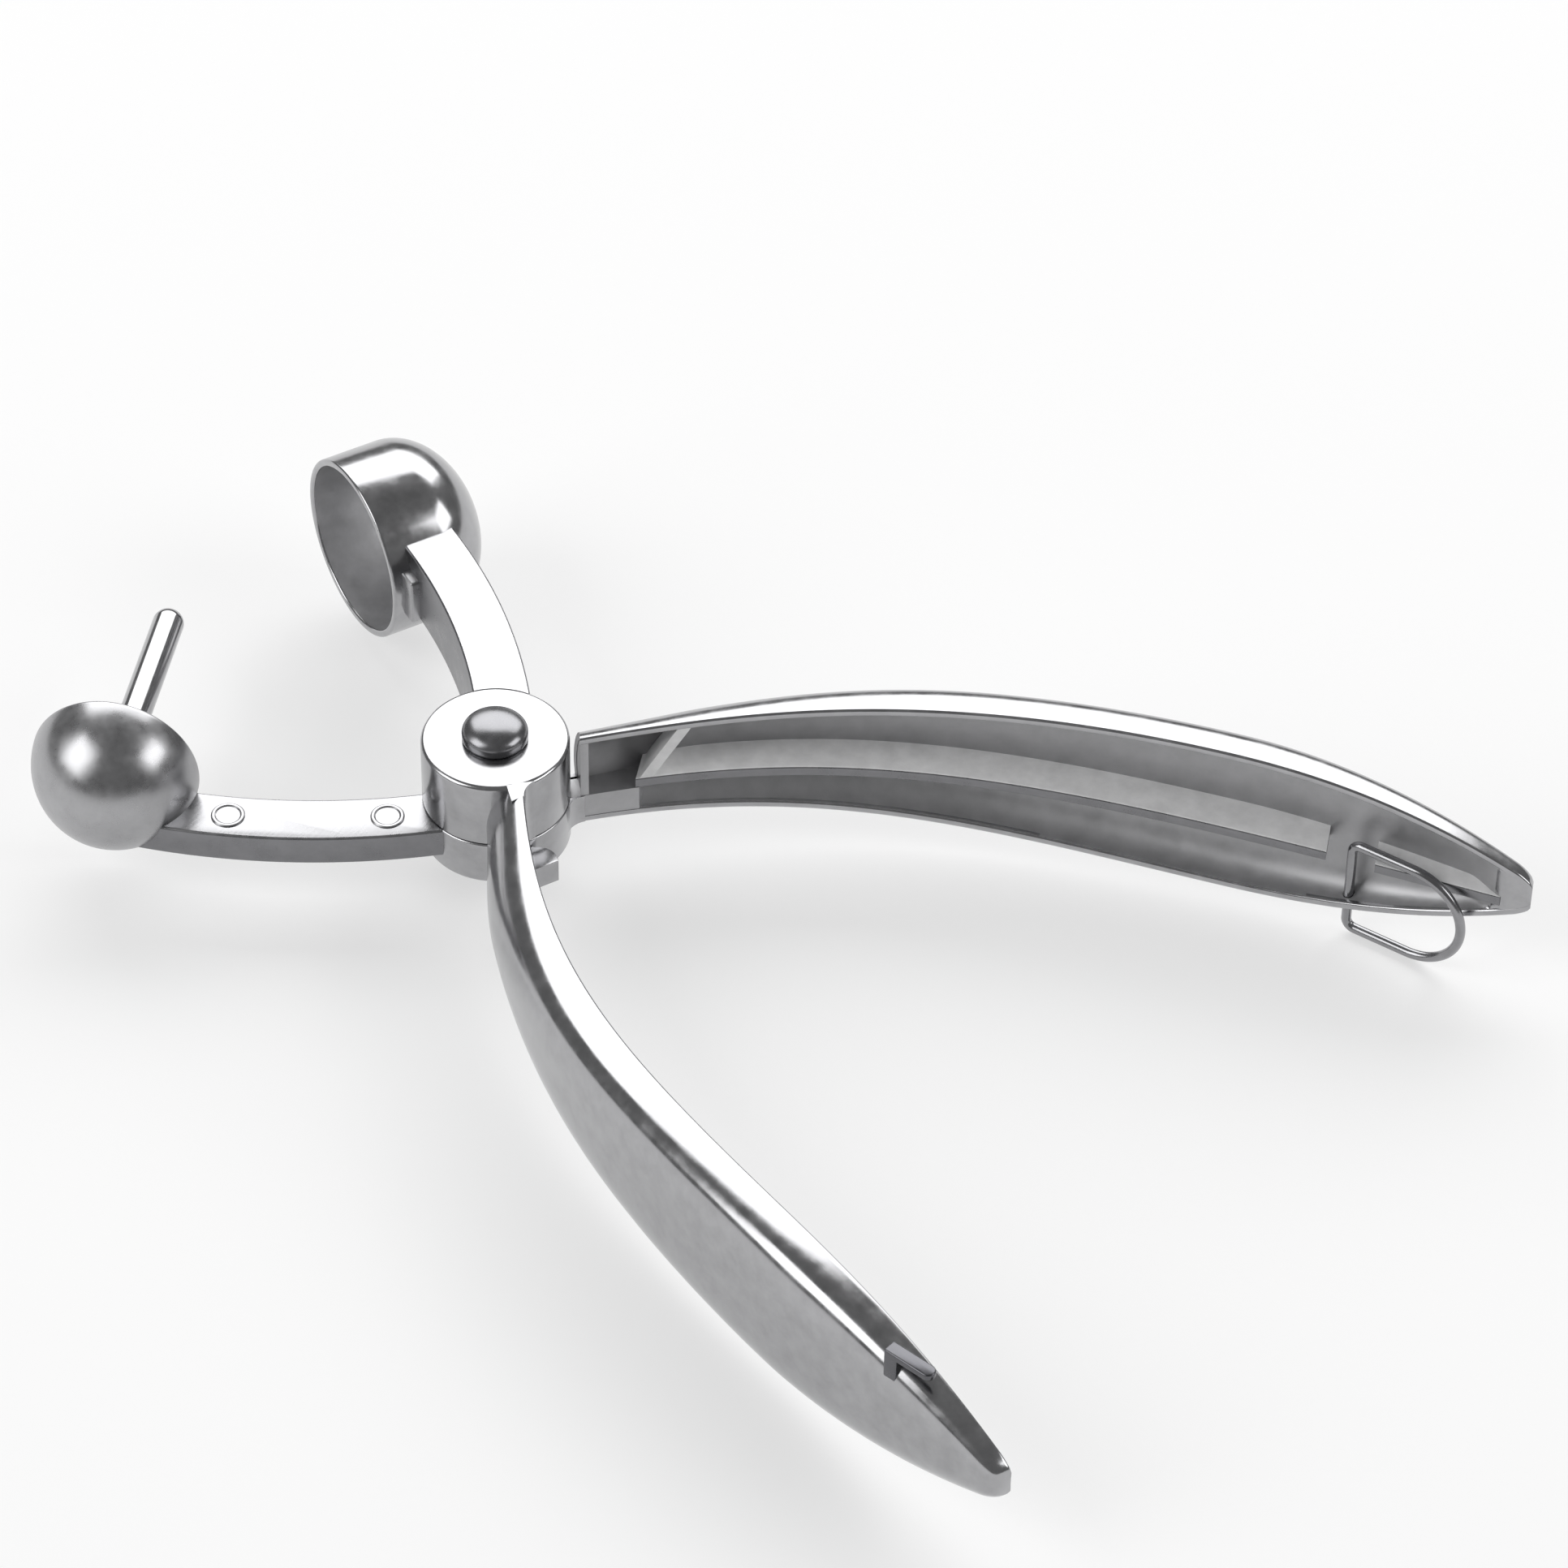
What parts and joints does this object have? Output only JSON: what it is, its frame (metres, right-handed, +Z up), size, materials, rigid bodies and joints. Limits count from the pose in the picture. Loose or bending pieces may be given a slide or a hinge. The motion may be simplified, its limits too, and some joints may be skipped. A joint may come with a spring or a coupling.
{
  "type": "olive pitter",
  "caption": "Hand pitter for olives and cherries: two crossed metal levers on a sprung pivot, a cup facing a plunger rod, channel handles and a wire latch.",
  "frame": {"origin": "centre of the hub's flat underside, on the pivot axis", "axes": "+Z up along the pivot axis, +X from the pivot towards the handles, midway between them, +Y towards the plunger lever's handle"},
  "size_m": [0.1583, 0.1118, 0.0254],
  "materials": {
    "cast": "bright plated zinc casting",
    "steel": "polished steel"
  },
  "bodies": {
    "plunger_lever": {"lower_barrel": "cast", "plunger_arm": "cast", "splash_bowl": "cast", "plunger_rod": "steel", "plunger_neck": "cast", "plunger_handle": "cast", "plunger_handle_rib": "cast", "plunger_handle_bulkhead": "cast", "plunger_handle_tip_web": "cast", "pivot_rivet": "steel", "return_spring": "steel"},
    "cup_lever": {"upper_barrel": "cast", "cup_arm": "cast", "pitting_cup": "cast", "cup_neck": "cast", "closing_stop": "cast", "cup_handle": "cast", "cup_handle_rib": "cast", "cup_handle_bulkhead": "cast", "cup_handle_tip_web": "cast", "latch_hook": "cast"},
    "latch_bail": {"latch_bail": "steel"}
  },
  "joints": [
    {"name": "lever_pivot", "type": "hinge", "parent": "plunger_lever", "child": "cup_lever", "pos_m": [0, 0, 0], "axis": [0, 0, 1], "range_deg": [0, 50], "stiffness_Nm_per_rad": 0.5, "springref_deg": -28.65, "deforming": ["return_spring"]},
    {"name": "bail_hinge", "type": "hinge", "parent": "plunger_lever", "child": "latch_bail", "pos_m": [0.08699, 0.04984, 0.00185], "axis": [0, 0, 1], "range_deg": [-140, 0]}
  ]
}
